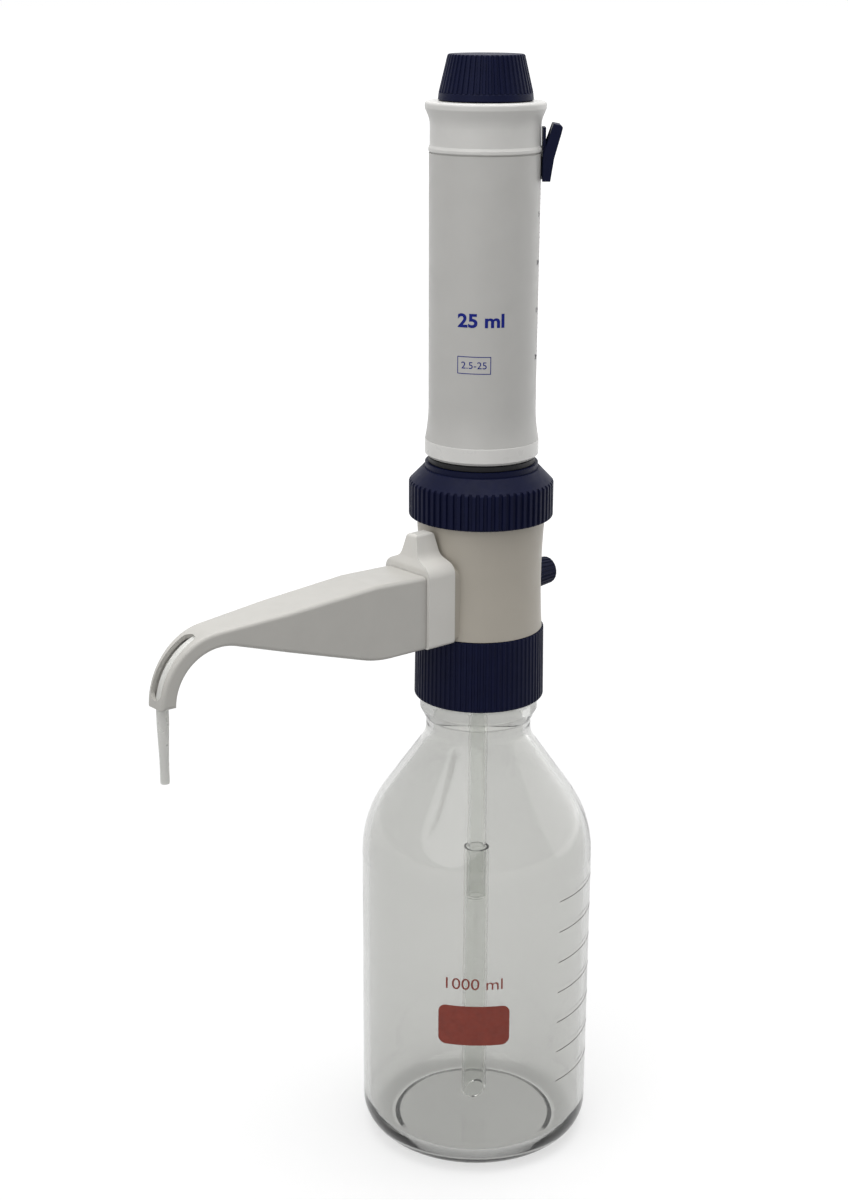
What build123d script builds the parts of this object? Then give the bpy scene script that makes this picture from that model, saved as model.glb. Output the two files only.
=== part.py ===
from build123d import *
import math
import os

# A bottle-top dispenser on its glass bottle. Millimetres, +Z up.
# The origin is the centre of the bottle's underside. The spout points along -X, the air vent along +X.
# At rest the plunger is down, the volume slider is at its top and the nozzle points down.

# Gaps: between pieces that turn or slide on each other, and between a shaft and its bore
RUN_GAP = 0.3
FIT_GAP = 0.08

# How far a cutter, or a piece that is joined on, runs past the face that it meets
PAST = 1.0

# Glass bottle, 1000 ml with a 45 mm screw neck
BOTTLE_R = 50.5
BOTTLE_HEIGHT = 225.0
BOTTLE_WALL = 2.8
BOTTLE_FLOOR_T = 5.0
HEEL_R = 13.0
SHOULDER_H = 39.9
SHOULDER_R = 50.0
NECK_R = 22.6
NECK_LENGTH = 36.3
NECK_BLEND_R = 12.0
NECK_WALL = 3.2
BEAD_W = 2.7
BEAD_H = 5.3
BEAD_DROP = 24.0
BEAD_EDGE_R = 1.5
THREAD_R = 22.3
THREAD_DEPTH = 1.7
THREAD_PITCH = 4.0
THREAD_RINGS = 3
MOUTH_WALL = 4.1
MOUTH_EDGE_R = 1.2
MOUTH_STEP_H = 5.0
PUNT_RIM_W = 14.5
PUNT_H = 2.2

# Mouth seal, thread collar, and the ring that keeps the collar on the block
MOUTH_SEAL_T = 1.5
MOUTH_SEAL_W = 5.1
COLLAR_WALL = 5.0
COLLAR_TAPER = 0.4
COLLAR_BEAD_GAP = 0.5
COLLAR_EDGE_R = 0.9
COLLAR_RIBS = 72
COLLAR_RIB_DEPTH = 0.45
COLLAR_GROOVE = 0.7
RETAINER_INSET = 1.4
RETAINER_W = 2.9
RETAINER_H = 4.7
RETAINER_EDGE_R = 0.6

# Valve block
BLOCK_NECK_H = 11.1
BLOCK_H = 48.1
BLOCK_LEDGE = 2.4
BLOCK_WAIST_INSET = 1.1
BLOCK_WAIST_RISE = 18.3
BLOCK_FOOT_INSET = 0.4
SPIGOT_LEDGE = 2.1
SPIGOT_H = 12.0
CYLINDER_SEAT_RISE = 26.4
PASSAGE_R = 2.2

# Suction valve, screwed into the block from below, with the barb that the filling tube is pushed over
SUCTION_THREAD_R = 7.1
SUCTION_HEX_R = 9.0
SUCTION_HEX_H = 5.0
SUCTION_BORE_R = 1.6
SUCTION_SEAT_RISE = 7.4
SUCTION_BALL_R = 3.0
SUCTION_BALL_LIFT = 1.5
BALL_ROOM = 0.6
BARB_R = 3.0
BARB_H = 16.0

# Filling tube, in two pieces that slide into each other
FILLING_WALL = 1.1
UPPER_TUBE_LENGTH = 111.0
TUBE_OVERLAP = 23.5
LOWER_TUBE_CLEAR = 7.0
TUBE_CUT = 4.0

# Outlet flange with its ear, fixed to a pad on the front of the block
SPOUT_AXIS_RISE = 15.6
PAD_PROUD = 0.7
PAD_HALF_W = 12.6
PAD_FOOT_RISE = 0.8
PAD_TOP_RISE = 32.6
PAD_CORNER_R = 5.5
FLANGE_T = 14.0
FLANGE_HALF_W = 13.8
FLANGE_SHOULDER_RISE = 33.5
FLANGE_SHOULDER_R = 5.5
FLANGE_EDGE_R = 1.5
EAR_FOOT_RISE = 36.9
EAR_TOP_RISE = 46.2
EAR_TOP_HALF_W = 2.9
EAR_FOOT_HALF_W = 5.4
EAR_TOP_T = 9.1
EAR_FOOT_T = 12.0
EAR_BLEND_R = 4.5

# Outlet valve, in the spigot that the spout turns on
OUTLET_SPIGOT_R = 6.5
OUTLET_SPIGOT_DEPTH = 16.5
OUTLET_LIP_W = 1.5
OUTLET_LIP_T = 2.2
OUTLET_BORE_R = 1.7
OUTLET_BALL_R = 2.7
OUTLET_BALL_LIFT = 1.0
OUTLET_CHAMBER_L = 9.0
OUTLET_STEM_R = 5.0
OUTLET_STEM_L = 9.0
O_RING_WIRE_R = 0.9
O_RING_INSET = 4.0
O_RING_STEP = 5.0
SPRING_WIRE_R = 0.25
OUTLET_SPRING_R = 2.2
OUTLET_SPRING_TURNS = 3.5

# Spout shroud: an upright profile that narrows towards the tip in plan. Lengths run from its root.
SHROUD_ROOT_HALF_W = 12.2
SHROUD_WAIST_HALF_W = 10.6
SHROUD_TIP_HALF_W = 5.0
SHROUD_WAIST_L = 67.2
SHROUD_PLAN_BLEND_R = 60.0
SHROUD_WALL = 1.8
SHROUD_ROOT_T = 2.5
SHROUD_EDGE_R = 1.6
SHROUD_TOP_RISE = 31.1
SHROUD_CROWN_L = 25.2
SHROUD_CROWN_H = 0.9
SHROUD_OPENING_L = 71.2
BELLY_ANGLE = 17.0
BELLY_R = 50.0
TOP_SLOPE_ANGLE = 3.5
BEND_L = 97.2
BEND_RISE = 0.9
BEND_OUTER_R = 26.9
BEND_INNER_R = 20.3
SLOT_HALF_W = 3.4
SLOT_LOW_ANGLE = 14.0
SLOT_HIGH_ANGLE = 64.0

# Discharge tube through the spout
TUBE_R = 2.4
TUBE_BORE_R = 1.1
TUBE_BEND_R = 40.0
TUBE_LEVEL_L = 35.2
TUBE_HIGH_LEAD = 12.0
NOZZLE_R = 1.8
NOZZLE_L = 9.0
NOZZLE_TAPER_L = 16.0
TUBE_BELOW_SHROUD = 31.0

# Air vent
VENT_RISE = 16.4
VENT_BOSS_R = 8.0
VENT_BOSS_PROUD = 1.2
VENT_STEM_R = 3.7
VENT_STEM_L = 10.0
VENT_CAP_L = 13.0
VENT_CAP_ROOT_R = 7.0
VENT_CAP_END_R = 5.8
VENT_CAP_EDGE_R = 1.0
VENT_RIBS = 22
VENT_RIB_DEPTH = 0.45
VENT_DUCT_INSET = 4.9
VENT_DUCT_R = 1.4
VENT_SEAL_W = 2.1
VENT_SEAL_T = 1.2

# Retaining ring, and the bush that turns in its top
RING_WALL = 5.4
RING_RIBS = 60
RING_RIB_DEPTH = 0.9
RING_RIB_H = 14.6
RING_CONE_H = 6.0
RING_LEDGE = 0.9
RING_NECK_H = 2.3
RING_NECK_WALL = 2.5
RING_EDGE_R = 0.9
RING_LIP_T = 1.4
BUSH_WALL = 2.4
BUSH_FLANGE_W = 3.9
BUSH_FLANGE_T = 2.1
BUSH_EDGE_R = 0.5

# Measuring cylinder, its guard and the piston. The 18.2 mm bore takes 5 ml in one step of the scale.
SCALE_STEP = 19.1
SCALE_STEPS = 5
CYLINDER_BORE_R = 9.1
CYLINDER_WALL = 2.4
CYLINDER_SPARE_L = 9.5
CYLINDER_SEAL_T = 1.5
CYLINDER_SEAL_LIP = 2.0
GUARD_SPACE = 4.9
GUARD_WALL = 1.6
GUARD_FOOT_W = 4.4
GUARD_FOOT_T = 2.7
GUARD_RIM_W = 0.7
GUARD_RIM_H = 2.0
PISTON_L = 18.5
PISTON_LIFT = 1.5
PISTON_GROOVE_DEPTH = 1.4
PISTON_RING_H = 2.4
PISTON_RINGS = 2
ROD_R = 6.0
ROD_TENON_R = 3.0
ROD_TENON_L = 8.0
ROD_FLANGE_R = 10.0
ROD_FLANGE_T = 3.6
ROD_STUD_R = 7.0
ROD_STUD_L = 15.0

# Foot ring, sleeve and head of the plunger
SLEEVE_GAP = 0.4
RACK_T = 1.5
RIM_CLEARANCE = 0.4
FOOT_H = 7.2
FOOT_STEP = 0.1
FOOT_CHAMFER = 1.1
FOOT_SPIGOT_H = 6.5
FOOT_SPIGOT_T = 1.4
SLEEVE_WALL = 1.55
SLEEVE_TAPER = 0.3
SLEEVE_FLARE_W = 1.35
SLEEVE_FLARE_H = 15.0
SLOT_HALF_T = 3.1
SLOT_END_GAP = 0.6
SLOT_TOP_WALL = 1.6
SLOT_FOOT_WALL = 19.85
SEAM_DEPTH = 0.5
SEAM_H = 0.5
HEAD_H = 19.5
HEAD_STEP = 0.25
HEAD_WAIST_INSET = 0.55
HEAD_FLARE_W = 2.0
HEAD_FLARE_H = 7.4
HEAD_FLARE_R = 11.0
HEAD_RIM_H = 2.7
HEAD_RIM_EDGE_R = 1.25
HEAD_LIP_H = 1.4
HEAD_LIP_SLOPE_H = 1.1
HEAD_LIP_R = 0.5
HEAD_TOP_T = 3.5
HEAD_SPIGOT_H = 8.0
HEAD_SPIGOT_T = 1.2
HEAD_NOTCH_HALF_W = 7.1

# Knob and the nut under it
KNOB_R = 19.0
KNOB_BAND_H = 3.0
KNOB_BAND_STEP = 0.3
KNOB_TOP_R = 15.2
KNOB_H = 17.6
KNOB_EDGE = 1.0
KNOB_RIBS = 48
KNOB_RIB_DEPTH = 0.5
NUT_W = 5.0
NUT_H = 5.0
NUT_NOTCHES = 4
NUT_NOTCH_HALF_W = 1.5
NUT_NOTCH_DEPTH = 2.0

# Volume setting on the side of the sleeve, with the slider's travel from half a step to the whole scale
SLIDER_BEARING = -41.0
RACK_SEAT_W = 3.5
TOOTH_W = 2.6
TOOTH_DEPTH = 0.8
TOOTH_FLAT = 0.1
TEETH_PER_STEP = 10
PLATE_T = 0.8
PLATE_HALF_W = 4.4
PLATE_H = 20.6
WEB_T = 2.6
WEB_H = 7.4
WEB_RISE = 1.5
SHOE_W = 4.2
PIVOT_RISE = 10.1
PIVOT_OUT = 1.25
PIN_R = 0.7
PIN_INSET = 0.5
LUG_R = 1.4
LUG_HALF_T = 1.3
LUG_ROOM = 0.3
COIL_R = 0.95
COIL_WIRE_R = 0.18
COIL_TURNS = 3
COIL_GAP = 0.12
PAWL_W = 1.9
PAWL_H = 2.3
PAWL_RISE = 2.4
PAWL_ROOM = 1.0
PAWL_WEB_GAP = 0.8
LEVER_ANGLE = 10.0
LEVER_SPARE_ANGLE = 2.0
CHEEK_T = 1.2
LEVER_FOOT_DROP = 0.3
LEVER_FOOT_T = 1.7
LEVER_WAIST_T = 3.05
LEVER_WAIST_DROP = 1.4
LEVER_WAIST_R = 14.0
LEVER_NOSE_OUT = 6.3
LEVER_NOSE_DROP = 1.4
LEVER_NOSE_H = 2.2
LEVER_NOSE_R = 1.0
LEVER_TOP_RISE = 1.6
LEVER_TOP_W = 2.9
LEVER_EDGE_R = 0.5

# Heights of the bottle
MOUTH_Z = BOTTLE_HEIGHT
NECK_CORNER_Z = MOUTH_Z - NECK_LENGTH
SHOULDER_CORNER_Z = NECK_CORNER_Z - SHOULDER_H
BEAD_Z = MOUTH_Z - BEAD_DROP
BEAD_TOP_Z = BEAD_Z + BEAD_H

# Radii of the neck, and of what is on it
THREAD_ROOT_R = THREAD_R - THREAD_DEPTH
MOUTH_BORE_R = THREAD_ROOT_R - MOUTH_WALL
COLLAR_BORE_R = THREAD_R + RUN_GAP + FIT_GAP
COLLAR_R = COLLAR_BORE_R + COLLAR_WALL
RETAINER_R = COLLAR_BORE_R - RETAINER_INSET
BLOCK_NECK_R = RETAINER_R - RETAINER_W

# Radii from the cylinder outwards
CYLINDER_R = CYLINDER_BORE_R + CYLINDER_WALL
GUARD_R = CYLINDER_R + GUARD_SPACE + GUARD_WALL
GUARD_RIM_R = GUARD_R + GUARD_RIM_W
GUARD_FOOT_R = GUARD_R + GUARD_FOOT_W
GUIDE_R = GUARD_R + RUN_GAP
RACK_IN_R = GUARD_RIM_R + RIM_CLEARANCE
SLEEVE_BORE_R = RACK_IN_R + RACK_T
SLEEVE_LOW_R = SLEEVE_BORE_R + SLEEVE_WALL
SLEEVE_TOP_R = SLEEVE_LOW_R + SLEEVE_TAPER
SLEEVE_FLARE_R = SLEEVE_LOW_R + SLEEVE_FLARE_W
FOOT_R = SLEEVE_FLARE_R + FOOT_STEP
HEAD_FOOT_R = SLEEVE_TOP_R + HEAD_STEP
HEAD_WAIST_R = HEAD_FOOT_R - HEAD_WAIST_INSET
HEAD_RIM_R = HEAD_WAIST_R + HEAD_FLARE_W
HEAD_SPIGOT_R = SLEEVE_BORE_R - HEAD_SPIGOT_T
PLATE_IN_R = HEAD_FOOT_R + RUN_GAP
PLATE_OUT_R = PLATE_IN_R + PLATE_T
SPIGOT_R = GUARD_FOOT_R + SPIGOT_LEDGE
BLOCK_TOP_R = SPIGOT_R + BLOCK_LEDGE
BLOCK_WAIST_R = BLOCK_TOP_R - BLOCK_WAIST_INSET
BLOCK_FOOT_R = BLOCK_TOP_R - BLOCK_FOOT_INSET
BUSH_R = GUIDE_R + BUSH_WALL
BUSH_FLANGE_R = GUIDE_R + BUSH_FLANGE_W
RING_NECK_R = BUSH_R + RUN_GAP + RING_NECK_WALL
RING_R = SPIGOT_R + RUN_GAP + RING_WALL
NUT_R = ROD_STUD_R + NUT_W
KNOB_RIB_FOOT_R = KNOB_R - KNOB_BAND_STEP

# Heights from the bottle's mouth upwards
NECK_FOOT_Z = MOUTH_Z + MOUTH_SEAL_T
HEX_FOOT_Z = NECK_FOOT_Z - SUCTION_HEX_H
UPPER_TUBE_FOOT_Z = HEX_FOOT_Z - UPPER_TUBE_LENGTH
SUCTION_SEAT_Z = NECK_FOOT_Z + SUCTION_SEAT_RISE
SUCTION_BALL_Z = SUCTION_SEAT_Z - SUCTION_BORE_R + (SUCTION_BALL_R + FIT_GAP) * math.sqrt(2)
SUCTION_TOP_Z = SUCTION_BALL_Z + SUCTION_BALL_R + SUCTION_BALL_LIFT + RUN_GAP
BLOCK_Z = NECK_FOOT_Z + BLOCK_NECK_H
SPOUT_Z = BLOCK_Z + SPOUT_AXIS_RISE
VENT_Z = BLOCK_Z + VENT_RISE
CYLINDER_Z = BLOCK_Z + CYLINDER_SEAT_RISE
BLOCK_TOP_Z = BLOCK_Z + BLOCK_H
SPIGOT_TOP_Z = BLOCK_TOP_Z + SPIGOT_H
GUARD_FOOT_TOP_Z = SPIGOT_TOP_Z + GUARD_FOOT_T
RING_Z = BLOCK_TOP_Z + RUN_GAP
RING_LIP_TOP_Z = GUARD_FOOT_TOP_Z + RUN_GAP + RING_LIP_T
RING_CONE_Z = RING_Z + RING_RIB_H
RING_CONE_TOP_Z = RING_CONE_Z + RING_CONE_H
RING_TOP_Z = RING_CONE_TOP_Z + RING_NECK_H
BUSH_FLANGE_Z = RING_TOP_Z + RUN_GAP
BUSH_TOP_Z = BUSH_FLANGE_Z + BUSH_FLANGE_T
FOOT_Z = BUSH_TOP_Z + SLEEVE_GAP
SLEEVE_Z = FOOT_Z + FOOT_H

# The stroke, and the heights that follow from it
STROKE = SCALE_STEP * SCALE_STEPS
SLIDER_TRAVEL = STROKE - SCALE_STEP / 2
PISTON_Z = CYLINDER_Z + PISTON_LIFT
PISTON_TOP_Z = PISTON_Z + PISTON_L
CYLINDER_TOP_Z = PISTON_TOP_Z + STROKE + CYLINDER_SPARE_L
SLOT_Z = SLEEVE_Z + SLOT_FOOT_WALL
SLOT_TOP_Z = SLOT_Z + SLIDER_TRAVEL + WEB_H + 2 * SLOT_END_GAP
SLEEVE_TOP_Z = SLOT_TOP_Z + SLOT_TOP_WALL
WEB_TOP_Z = SLOT_TOP_Z - SLOT_END_GAP
WEB_Z = WEB_TOP_Z - WEB_H
SLIDER_Z = WEB_Z - WEB_RISE
SLIDER_TOP_Z = SLIDER_Z + PLATE_H
GUARD_RIM_Z = WEB_TOP_Z + SCALE_STEP / 2
GUARD_TOP_Z = GUARD_RIM_Z + GUARD_RIM_H
HEAD_TOP_Z = SLEEVE_TOP_Z + HEAD_H
HEAD_DISC_Z = HEAD_TOP_Z - HEAD_TOP_T
HEAD_SPIGOT_Z = SLEEVE_TOP_Z - HEAD_SPIGOT_H
PIVOT_Z = SLIDER_Z + PIVOT_RISE
PIVOT_X = PLATE_OUT_R + PIVOT_OUT
LEVER_IN_X = PLATE_OUT_R + RUN_GAP
CHEEK_Y = PLATE_HALF_W + RUN_GAP
LEVER_HALF_W = CHEEK_Y + CHEEK_T
CHEEK_IN_X = math.sqrt(HEAD_FOOT_R ** 2 - CHEEK_Y ** 2) + RUN_GAP

# Places along the spout and the vent, as distances from the main axis
FLANGE_BACK_X = BLOCK_WAIST_R + PAD_PROUD
FLANGE_FRONT_X = FLANGE_BACK_X + FLANGE_T
OUTLET_NOSE_X = FLANGE_BACK_X - OUTLET_SPIGOT_DEPTH
OUTLET_SEAT_X = FLANGE_BACK_X - RUN_GAP
OUTLET_LIP_X = OUTLET_SEAT_X - OUTLET_LIP_T
OUTLET_BALL_X = OUTLET_SEAT_X - OUTLET_BORE_R + (OUTLET_BALL_R + FIT_GAP) * math.sqrt(2)
SHROUD_BACK_X = FLANGE_FRONT_X + RUN_GAP
SHROUD_FRONT_X = SHROUD_BACK_X + SHROUD_ROOT_T
BEND_X = SHROUD_BACK_X + BEND_L
BEND_Z = BLOCK_Z + BEND_RISE
TUBE_TURN_R = (BEND_OUTER_R + BEND_INNER_R) / 2
TUBE_DOWN_X = BEND_X + TUBE_TURN_R
NOZZLE_TIP_Z = BEND_Z - TUBE_BELOW_SHROUD
VENT_BOSS_X = BLOCK_WAIST_R + VENT_BOSS_PROUD
VENT_STEM_X = VENT_BOSS_X - VENT_STEM_L
VENT_DUCT_X = BLOCK_NECK_R - VENT_DUCT_INSET


def outline(*corners):
    """A closed outline from corners, each with the radius that rounds it."""
    return FilletPolyline(*[c[:2] for c in corners], radius=[c[2] for c in corners], close=True)


def turned(*corners):
    """A solid of revolution about Z. A corner is radius, height and, where it is rounded, its radius."""
    full = [(*c, 0) if len(c) == 2 else c for c in corners]
    return revolve(make_face(Plane.XZ * outline(*full)), Axis.Z)


def pipe(outer_r, inner_r, low, high):
    """A straight pipe standing on Z."""
    return turned((inner_r, low), (outer_r, low), (outer_r, high), (inner_r, high))


def bar(radius, low, high):
    """A round bar standing on Z."""
    return Pos(0, 0, low) * Cylinder(radius, high - low, align=(Align.CENTER, Align.CENTER, Align.MIN))


def cross_bar(radius, low, high):
    """A round bar along Y, from its lowest to its highest Y."""
    return Rot(-90, 0, 0) * bar(radius, low, high)


def box_between(low, high):
    """A box from its lowest to its highest corner."""
    size = [b - a for a, b in zip(low, high)]
    return Pos(*low) * Box(*size, align=(Align.MIN, Align.MIN, Align.MIN))


def forward(solid, height):
    """Lays a solid made along Z down along -X at a height. Z becomes the distance from the main axis."""
    return Pos(0, 0, height) * Rot(0, -90, 0) * solid


def backward(solid, height):
    """As forward, but along +X."""
    return Pos(0, 0, height) * Rot(0, 90, 0) * solid


def at_slider(solid):
    """Turns a piece made on the +X side to the side of the sleeve where the slider runs."""
    return Rot(0, 0, SLIDER_BEARING) * solid


def coil(radius, wire_r, pitch, turns):
    """A coil spring standing on Z from zero."""
    path = Helix(pitch, pitch * turns, radius)
    return sweep(Plane(path @ 0, z_dir=path % 0) * Circle(wire_r), path, is_frenet=True)


def ball_seat(bore_r, chamber_r, seat, end):
    """The room that is cut for a ball: a 45 degree seat over a bore, and a straight chamber."""
    return turned((0, seat), (bore_r, seat), (chamber_r, seat + chamber_r - bore_r),
                  (chamber_r, end), (0, end))


def thread_ring(root_r, crest_r, height):
    """A plain ring with sloped sides, in place of a turn of thread."""
    foot = THREAD_PITCH * 0.4
    crest = THREAD_PITCH * 0.12
    return turned((root_r, height - foot), (crest_r, height - crest),
                  (crest_r, height + crest), (root_r, height + foot))


def thread_heights():
    return [MOUTH_Z - THREAD_PITCH * (ring + 1) for ring in range(THREAD_RINGS)]


def ribbed_outline(radius, depth, count):
    """A closed outline with flat-topped ribs."""
    foot_share = 0.32
    crest_share = 0.2
    points = []
    for rib in range(count):
        for share, r in ((-foot_share, radius - depth), (-crest_share, radius),
                         (crest_share, radius), (foot_share, radius - depth)):
            angle = 2 * math.pi * (rib + share) / count
            points.append((r * math.cos(angle), r * math.sin(angle)))
    return Polyline(*points, close=True)


def ribbed_bar(foot_r, top_r, depth, count, low, high):
    """A ribbed bar between two heights, as thick as the two radii say."""
    foot = make_face(Plane.XY.offset(low) * ribbed_outline(foot_r, depth, count))
    top = make_face(Plane.XY.offset(high) * ribbed_outline(top_r, depth, count))
    return loft([foot, top], ruled=True)


def bottle_body(inset, floor_z, neck_r):
    """The bottle's form up to the bead, moved in by a wall."""
    slope = math.atan2(BOTTLE_R - NECK_R, SHOULDER_H)
    body_r = BOTTLE_R - inset
    shoulder_z = SHOULDER_CORNER_Z - inset * math.tan(slope / 2)
    neck_z = shoulder_z + (body_r - neck_r) / math.tan(slope)
    return turned(
        (0, floor_z),
        (body_r, floor_z, HEEL_R - inset),
        (body_r, shoulder_z, SHOULDER_R - inset),
        (neck_r, neck_z, NECK_BLEND_R),
        (neck_r, BEAD_Z),
        (0, BEAD_Z),
    )


def bottle():
    bead_r = NECK_R + BEAD_W
    bore_r = NECK_R - NECK_WALL
    step_top_z = BEAD_TOP_Z + MOUTH_STEP_H
    punt_r = BOTTLE_R - PUNT_RIM_W
    glass = bottle_body(0, 0, NECK_R)
    glass += turned((0, BEAD_Z - BEAD_H), (NECK_R, BEAD_Z - BEAD_H, 2 * BEAD_EDGE_R),
                    (bead_r, BEAD_Z, BEAD_EDGE_R), (bead_r, BEAD_TOP_Z, BEAD_EDGE_R),
                    (THREAD_ROOT_R, BEAD_TOP_Z), (THREAD_ROOT_R, MOUTH_Z, MOUTH_EDGE_R), (0, MOUTH_Z))
    for z in thread_heights():
        glass += thread_ring(THREAD_ROOT_R - PAST, THREAD_R, z)
    glass -= bottle_body(BOTTLE_WALL, BOTTLE_FLOOR_T, bore_r)
    glass -= turned((0, BEAD_Z), (bore_r, BEAD_Z), (bore_r, BEAD_TOP_Z, 2 * BEAD_EDGE_R),
                    (MOUTH_BORE_R, step_top_z, 2 * BEAD_EDGE_R), (MOUTH_BORE_R, MOUTH_Z + PAST),
                    (0, MOUTH_Z + PAST))
    return glass - turned((0, -PAST), (punt_r + PAST, -PAST), (punt_r - PUNT_H, PUNT_H, PUNT_H), (0, PUNT_H))


def mouth_seal():
    outer_r = RETAINER_R - FIT_GAP
    return pipe(outer_r, outer_r - MOUTH_SEAL_W, MOUTH_Z, NECK_FOOT_Z)


def thread_collar():
    foot_z = BEAD_TOP_Z + COLLAR_BEAD_GAP
    top_z = BLOCK_Z - RUN_GAP
    lip_z = NECK_FOOT_Z + RETAINER_H + RUN_GAP
    top_r = COLLAR_R - COLLAR_TAPER
    collar = ribbed_bar(COLLAR_R, top_r, COLLAR_RIB_DEPTH, COLLAR_RIBS, foot_z, top_z)
    collar &= turned((0, foot_z), (COLLAR_R, foot_z, COLLAR_EDGE_R),
                     (COLLAR_R, top_z, COLLAR_EDGE_R), (0, top_z))
    collar -= bar(COLLAR_BORE_R, foot_z - PAST, lip_z)
    collar -= bar(BLOCK_NECK_R + RUN_GAP, lip_z - PAST, top_z + PAST)
    for z in thread_heights():
        collar -= thread_ring(COLLAR_BORE_R - PAST, COLLAR_BORE_R + COLLAR_GROOVE, z)
    return collar


def collar_retainer():
    top_z = NECK_FOOT_Z + RETAINER_H
    return turned((BLOCK_NECK_R, NECK_FOOT_Z), (RETAINER_R, NECK_FOOT_Z, RETAINER_EDGE_R),
                  (RETAINER_R, top_z, RETAINER_EDGE_R), (BLOCK_NECK_R, top_z))


def outlet_pad():
    """The pad on the front of the block that the flange is fixed to."""
    low = BLOCK_Z + PAD_FOOT_RISE
    high = BLOCK_Z + PAD_TOP_RISE
    face = make_face(Plane.YZ.offset(-FLANGE_BACK_X) * outline(
        (-PAD_HALF_W, low, FLANGE_EDGE_R), (PAD_HALF_W, low, FLANGE_EDGE_R),
        (PAD_HALF_W, high, PAD_CORNER_R), (-PAD_HALF_W, high, PAD_CORNER_R)))
    return extrude(face, FLANGE_BACK_X / 2)


def valve_block():
    waist_z = BLOCK_Z + BLOCK_WAIST_RISE
    side = ThreePointArc((BLOCK_FOOT_R, BLOCK_Z), (BLOCK_WAIST_R, waist_z), (BLOCK_TOP_R, BLOCK_TOP_Z))
    rest = Polyline((BLOCK_TOP_R, BLOCK_TOP_Z), (SPIGOT_R, BLOCK_TOP_Z), (SPIGOT_R, SPIGOT_TOP_Z),
                    (0, SPIGOT_TOP_Z), (0, NECK_FOOT_Z), (BLOCK_NECK_R, NECK_FOOT_Z),
                    (BLOCK_NECK_R, BLOCK_Z), (BLOCK_FOOT_R, BLOCK_Z))
    block = revolve(make_face(Plane.XZ * (side + rest)), Axis.Z)
    block += outlet_pad()
    block += backward(bar(VENT_BOSS_R, BLOCK_WAIST_R / 2, VENT_BOSS_X), VENT_Z)
    block -= bar(CYLINDER_R, CYLINDER_Z - CYLINDER_SEAL_T, SPIGOT_TOP_Z + PAST)
    block -= bar(SUCTION_THREAD_R, NECK_FOOT_Z - PAST, SUCTION_TOP_Z)
    block -= bar(PASSAGE_R, SUCTION_TOP_Z - PAST, CYLINDER_Z)
    lip_room_x = OUTLET_LIP_X - RUN_GAP
    block -= forward(bar(PASSAGE_R, 0, OUTLET_NOSE_X), SPOUT_Z)
    block -= forward(bar(OUTLET_SPIGOT_R + RUN_GAP, OUTLET_NOSE_X - RUN_GAP, FLANGE_FRONT_X), SPOUT_Z)
    block -= forward(bar(OUTLET_SPIGOT_R + OUTLET_LIP_W + RUN_GAP, lip_room_x, FLANGE_FRONT_X), SPOUT_Z)
    block -= backward(bar(VENT_STEM_R + RUN_GAP, VENT_STEM_X - RUN_GAP, VENT_BOSS_X + PAST), VENT_Z)
    block -= backward(bar(VENT_DUCT_R, VENT_DUCT_X, VENT_STEM_X), VENT_Z)
    return block - Pos(VENT_DUCT_X, 0, 0) * bar(VENT_DUCT_R, NECK_FOOT_Z - PAST, VENT_Z)


def suction_valve_body():
    hexagon = extrude(Plane.XY.offset(HEX_FOOT_Z) * RegularPolygon(SUCTION_HEX_R, 6), SUCTION_HEX_H)
    body = hexagon + bar(SUCTION_THREAD_R, NECK_FOOT_Z, SUCTION_TOP_Z)
    body += bar(BARB_R, HEX_FOOT_Z - BARB_H, HEX_FOOT_Z)
    body -= bar(SUCTION_BORE_R, HEX_FOOT_Z - BARB_H - PAST, SUCTION_TOP_Z + PAST)
    return body - ball_seat(SUCTION_BORE_R, SUCTION_BALL_R + BALL_ROOM, SUCTION_SEAT_Z, SUCTION_TOP_Z + PAST)


def suction_ball():
    return Pos(0, 0, SUCTION_BALL_Z) * Sphere(SUCTION_BALL_R)


def filling_tube_upper():
    return pipe(BARB_R + FILLING_WALL, BARB_R, UPPER_TUBE_FOOT_Z, HEX_FOOT_Z)


def filling_tube_lower():
    inner_r = BARB_R + FILLING_WALL + RUN_GAP
    outer_r = inner_r + FILLING_WALL
    low = BOTTLE_FLOOR_T + LOWER_TUBE_CLEAR
    tube = pipe(outer_r, inner_r, low, UPPER_TUBE_FOOT_Z + TUBE_OVERLAP)
    reach = outer_r + PAST
    slant = Polyline((-reach, low - PAST), (reach, low - PAST), (reach, low + TUBE_CUT), close=True)
    return tube - extrude(make_face(Plane.XZ * slant), reach, both=True)


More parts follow.
